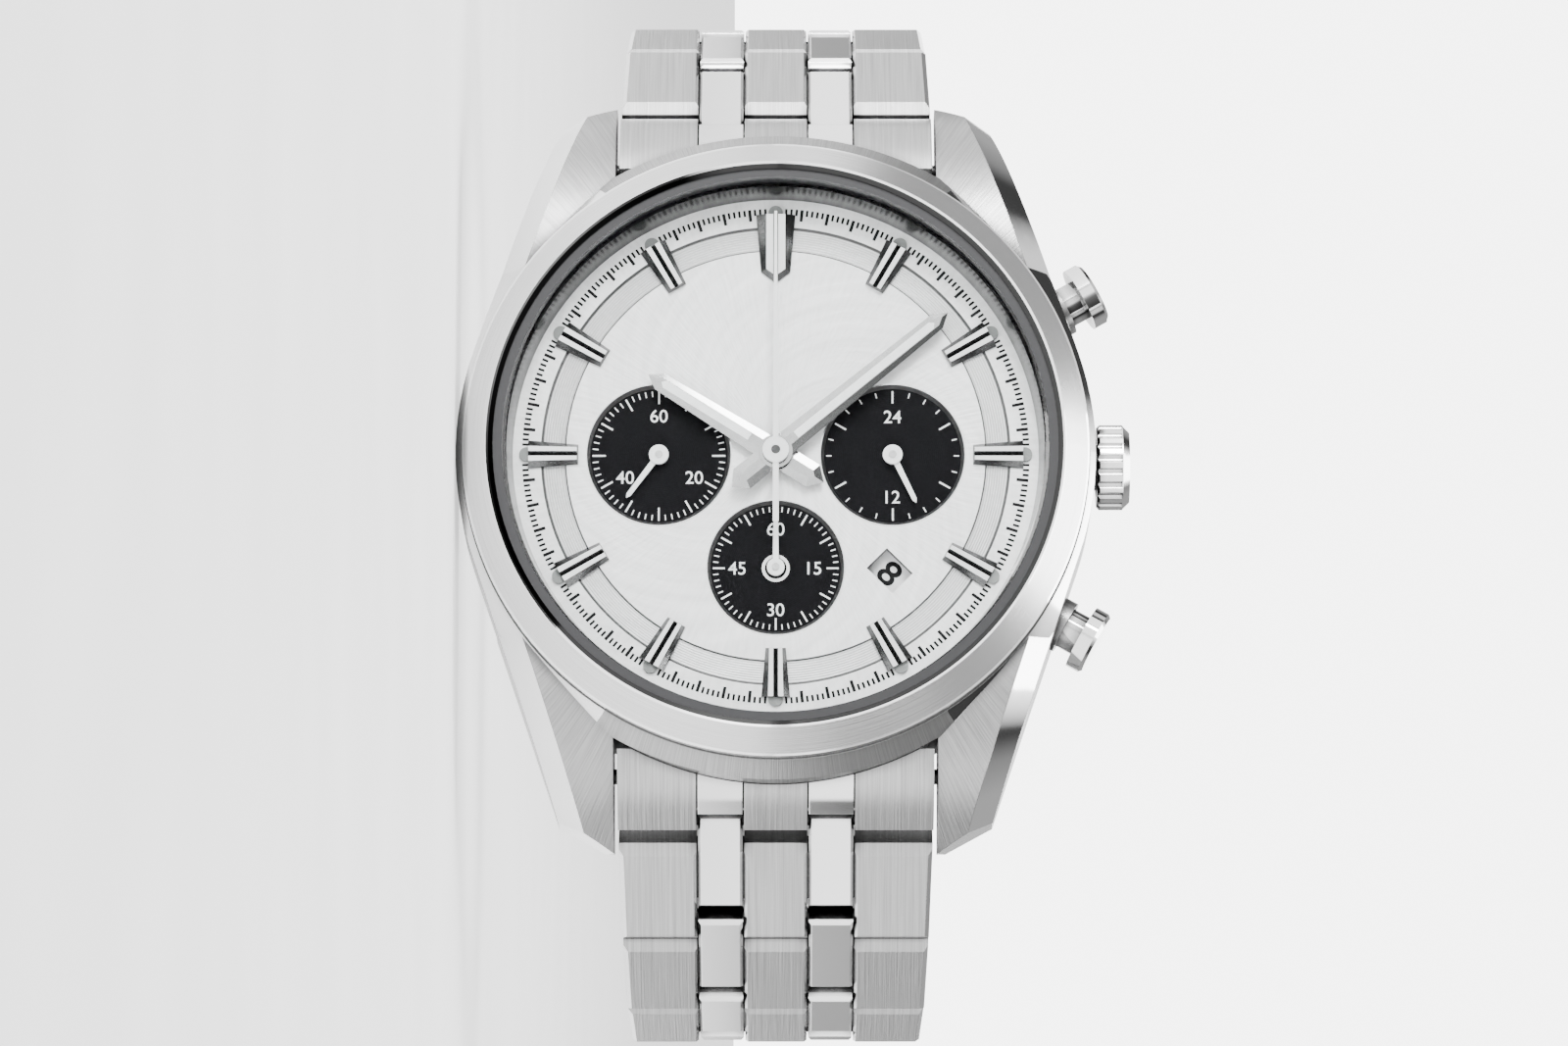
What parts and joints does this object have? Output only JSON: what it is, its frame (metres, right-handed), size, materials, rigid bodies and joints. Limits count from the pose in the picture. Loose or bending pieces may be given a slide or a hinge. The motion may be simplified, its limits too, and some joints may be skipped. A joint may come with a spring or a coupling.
{
  "type": "chronograph wristwatch",
  "caption": "Steel chronograph wristwatch with three small dark dials, two pushers, a fluted crown and a link bracelet with a folding clasp.",
  "frame": {"origin": "centre of the case back's outer face, on the hand axis", "axes": "+Z towards 3 o'clock (the watch lies on its 9 o'clock side), -Y out of the dial, +X towards 6 o'clock"},
  "size_m": [0.0692, 0.0516, 0.0439],
  "materials": {
    "steel_brushed": "fine vertical brush with polished bevels",
    "steel_polished": "mirror polish",
    "steel_back": "circular brush",
    "bracelet_steel": "brushed outer and centre columns, polished columns between",
    "clasp_steel": "lengthwise brush",
    "clasp_blade_steel": "lengthwise brush",
    "crown_steel": "polished with fluted edge",
    "tube_steel": "turned",
    "spring_steel": "drawn wire",
    "sapphire": "clear, flat",
    "gasket_black": "matte",
    "flange_silver": "polished, sloped",
    "dial_silver": "silver-white sunburst",
    "dial_charcoal": "charcoal, fine circular grain",
    "marker_silver": "polished facets",
    "lume_white": "matte pigment",
    "hand_steel": "polished facets with pale strip",
    "hand_white": "white paint",
    "date_white": "white print ground",
    "solar_film": "dark film",
    "movement_brass": "grained",
    "movement_plastic": "moulded",
    "circuit_green": "board",
    "cell_steel": "stamped can"
  },
  "bodies": {
    "case": {"case_middle": "steel_brushed", "bezel": "steel_brushed", "crystal": "sapphire", "crystal_gasket": "gasket_black", "case_back": "steel_back", "case_back_gasket": "gasket_black", "inner_flange": "flange_silver", "dial": "dial_silver", "subdial_plates": "dial_charcoal", "hour_markers": "marker_silver", "lume_dots": "lume_white", "solar_cell": "solar_film", "movement_plate": "movement_brass", "movement_ring": "movement_plastic", "circuit_block": "circuit_green", "rechargeable_cell": "cell_steel", "crown_tube": "tube_steel", "pusher_tubes": "tube_steel", "lug_spring_bars": "tube_steel", "end_link_12": "bracelet_steel", "end_link_6": "bracelet_steel", "pusher_spring_start": "spring_steel", "pusher_spring_reset": "spring_steel"},
    "date_wheel": {"date_disc": "date_white"},
    "hour": {"hour_hand": "hand_steel", "hour_wheel": "movement_brass"},
    "minute": {"minute_hand": "hand_steel", "cannon_pinion": "movement_brass"},
    "chrono_seconds": {"chrono_seconds_hand": "hand_steel", "chrono_seconds_arbor": "tube_steel"},
    "chrono_minute": {"chrono_minute_hand": "hand_white", "chrono_minute_arbor": "tube_steel"},
    "small_seconds": {"small_seconds_hand": "hand_white", "small_seconds_arbor": "tube_steel"},
    "day": {"day_hand": "hand_white", "day_hand_arbor": "tube_steel"},
    "stem_carriage": {"setting_lever": "tube_steel"},
    "crown_stem": {"crown": "crown_steel", "winding_stem": "tube_steel", "crown_gasket": "gasket_black"},
    "pusher_start": {"pusher_start": "steel_polished"},
    "pusher_reset": {"pusher_reset": "steel_polished"},
    "link_12_1": {"link_12_1": "bracelet_steel"},
    "link_12_2": {"link_12_2": "bracelet_steel"},
    "link_12_3": {"link_12_3": "bracelet_steel"},
    "link_12_4": {"link_12_4": "bracelet_steel"},
    "link_12_5": {"link_12_5": "bracelet_steel"},
    "link_12_6": {"link_12_6": "bracelet_steel", "clasp_spring_bar_12": "tube_steel"},
    "link_6_1": {"link_6_1": "bracelet_steel"},
    "link_6_2": {"link_6_2": "bracelet_steel"},
    "link_6_3": {"link_6_3": "bracelet_steel"},
    "link_6_4": {"link_6_4": "bracelet_steel"},
    "link_6_5": {"link_6_5": "bracelet_steel"},
    "link_6_6": {"link_6_6": "bracelet_steel"},
    "blade_inner": {"clasp_blade_inner": "clasp_blade_steel"},
    "blade_outer": {"clasp_blade_outer": "clasp_blade_steel"},
    "cover": {"clasp_cover": "clasp_steel"},
    "button_left": {"clasp_button_left": "steel_polished"},
    "button_right": {"clasp_button_right": "steel_polished"}
  },
  "joints": [
    {"name": "minute_turn", "type": "hinge", "parent": "case", "child": "minute", "pos_m": [0, -0.0088, 0], "axis": [0, 1, 0], "continuous": true},
    {"name": "hour_turn", "type": "hinge", "parent": "case", "child": "hour", "pos_m": [0, -0.0084, 0], "axis": [0, 1, 0], "continuous": true},
    {"name": "chrono_seconds_turn", "type": "hinge", "parent": "case", "child": "chrono_seconds", "pos_m": [0, -0.0092, 0], "axis": [0, 1, 0], "continuous": true},
    {"name": "chrono_minute_turn", "type": "hinge", "parent": "case", "child": "chrono_minute", "pos_m": [0, -0.0078, -0.0076], "axis": [0, 1, 0], "continuous": true},
    {"name": "day_turn", "type": "hinge", "parent": "case", "child": "day", "pos_m": [0, -0.0078, 0.0076], "axis": [0, 1, 0], "continuous": true},
    {"name": "small_seconds_turn", "type": "hinge", "parent": "case", "child": "small_seconds", "pos_m": [0.00748, -0.0078, 0], "axis": [0, 1, 0], "continuous": true},
    {"name": "date_turn", "type": "hinge", "parent": "case", "child": "date_wheel", "pos_m": [0, -0.00685, 0], "axis": [0, 1, 0], "continuous": true},
    {"name": "crown_pull", "type": "slide", "parent": "case", "child": "stem_carriage", "axis": [0, 0, 1], "range_m": [0, 0.0012]},
    {"name": "crown_turn", "type": "hinge", "parent": "stem_carriage", "child": "crown_stem", "pos_m": [0, -0.004, 0.022], "axis": [0, 0, 1], "continuous": true},
    {"name": "pusher_start_press", "type": "slide", "parent": "case", "child": "pusher_start", "axis": [0.4924, 0, -0.8704], "range_m": [0, 0.0008], "stiffness_N_per_m": 600, "deforming": ["pusher_spring_start"]},
    {"name": "pusher_reset_press", "type": "slide", "parent": "case", "child": "pusher_reset", "axis": [-0.4924, 0, -0.8704], "range_m": [0, 0.0008], "stiffness_N_per_m": 600, "deforming": ["pusher_spring_reset"]},
    {"name": "link_6_1_bend", "type": "hinge", "parent": "case", "child": "link_6_1", "pos_m": [0.0229, -0.0021, 0], "axis": [0, 0, -1], "range_deg": [0, 20]},
    {"name": "link_6_2_bend", "type": "hinge", "parent": "link_6_1", "child": "link_6_2", "pos_m": [0.02847, 0.00292, 0], "axis": [0, 0, -1], "range_deg": [0, 20]},
    {"name": "link_6_3_bend", "type": "hinge", "parent": "link_6_2", "child": "link_6_3", "pos_m": [0.032, 0.00954, 0], "axis": [0, 0, -1], "range_deg": [0, 20]},
    {"name": "link_6_4_bend", "type": "hinge", "parent": "link_6_3", "child": "link_6_4", "pos_m": [0.03304, 0.01697, 0], "axis": [0, 0, -1], "range_deg": [0, 20]},
    {"name": "link_6_5_bend", "type": "hinge", "parent": "link_6_4", "child": "link_6_5", "pos_m": [0.03148, 0.0243, 0], "axis": [0, 0, -1], "range_deg": [0, 20]},
    {"name": "link_6_6_bend", "type": "hinge", "parent": "link_6_5", "child": "link_6_6", "pos_m": [0.02751, 0.03066, 0], "axis": [0, 0, -1], "range_deg": [0, 20]},
    {"name": "link_12_1_bend", "type": "hinge", "parent": "case", "child": "link_12_1", "pos_m": [-0.0229, -0.0021, 0], "axis": [0, 0, 1], "range_deg": [0, 20]},
    {"name": "link_12_2_bend", "type": "hinge", "parent": "link_12_1", "child": "link_12_2", "pos_m": [-0.02847, 0.00292, 0], "axis": [0, 0, 1], "range_deg": [0, 20]},
    {"name": "link_12_3_bend", "type": "hinge", "parent": "link_12_2", "child": "link_12_3", "pos_m": [-0.032, 0.00954, 0], "axis": [0, 0, 1], "range_deg": [0, 20]},
    {"name": "link_12_4_bend", "type": "hinge", "parent": "link_12_3", "child": "link_12_4", "pos_m": [-0.03304, 0.01697, 0], "axis": [0, 0, 1], "range_deg": [0, 20]},
    {"name": "link_12_5_bend", "type": "hinge", "parent": "link_12_4", "child": "link_12_5", "pos_m": [-0.03148, 0.0243, 0], "axis": [0, 0, 1], "range_deg": [0, 20]},
    {"name": "link_12_6_bend", "type": "hinge", "parent": "link_12_5", "child": "link_12_6", "pos_m": [-0.02751, 0.03066, 0], "axis": [0, 0, 1], "range_deg": [0, 20]},
    {"name": "clasp_blade_inner_swing", "type": "hinge", "parent": "link_6_6", "child": "blade_inner", "pos_m": [0.02159, 0.03528, 0], "axis": [0, 0, -1], "range_deg": [0, 12]},
    {"name": "clasp_blade_outer_swing", "type": "hinge", "parent": "blade_inner", "child": "blade_outer", "pos_m": [-0.01702, 0.03589, 0], "axis": [0, 0, 1], "range_deg": [0, 140]},
    {"name": "clasp_cover_swing", "type": "hinge", "parent": "blade_outer", "child": "cover", "pos_m": [0.01872, 0.03658, 0], "axis": [0, 0, -1], "range_deg": [0, 140]},
    {"name": "clasp_button_left_press", "type": "slide", "parent": "cover", "child": "button_left", "axis": [0, 0, 1], "range_m": [0, 0.0008], "stiffness_N_per_m": 400},
    {"name": "clasp_button_right_press", "type": "slide", "parent": "cover", "child": "button_right", "axis": [0, 0, -1], "range_m": [0, 0.0008], "stiffness_N_per_m": 400}
  ],
  "couplings": [
    {"joint": "hour_turn", "follows": "minute_turn", "ratio": 0.083333},
    {"joint": "day_turn", "follows": "minute_turn", "ratio": 0.041667},
    {"joint": "chrono_minute_turn", "follows": "chrono_seconds_turn", "ratio": 0.016667},
    {"joint": "clasp_cover_swing", "follows": "clasp_blade_outer_swing", "ratio": 1}
  ]
}
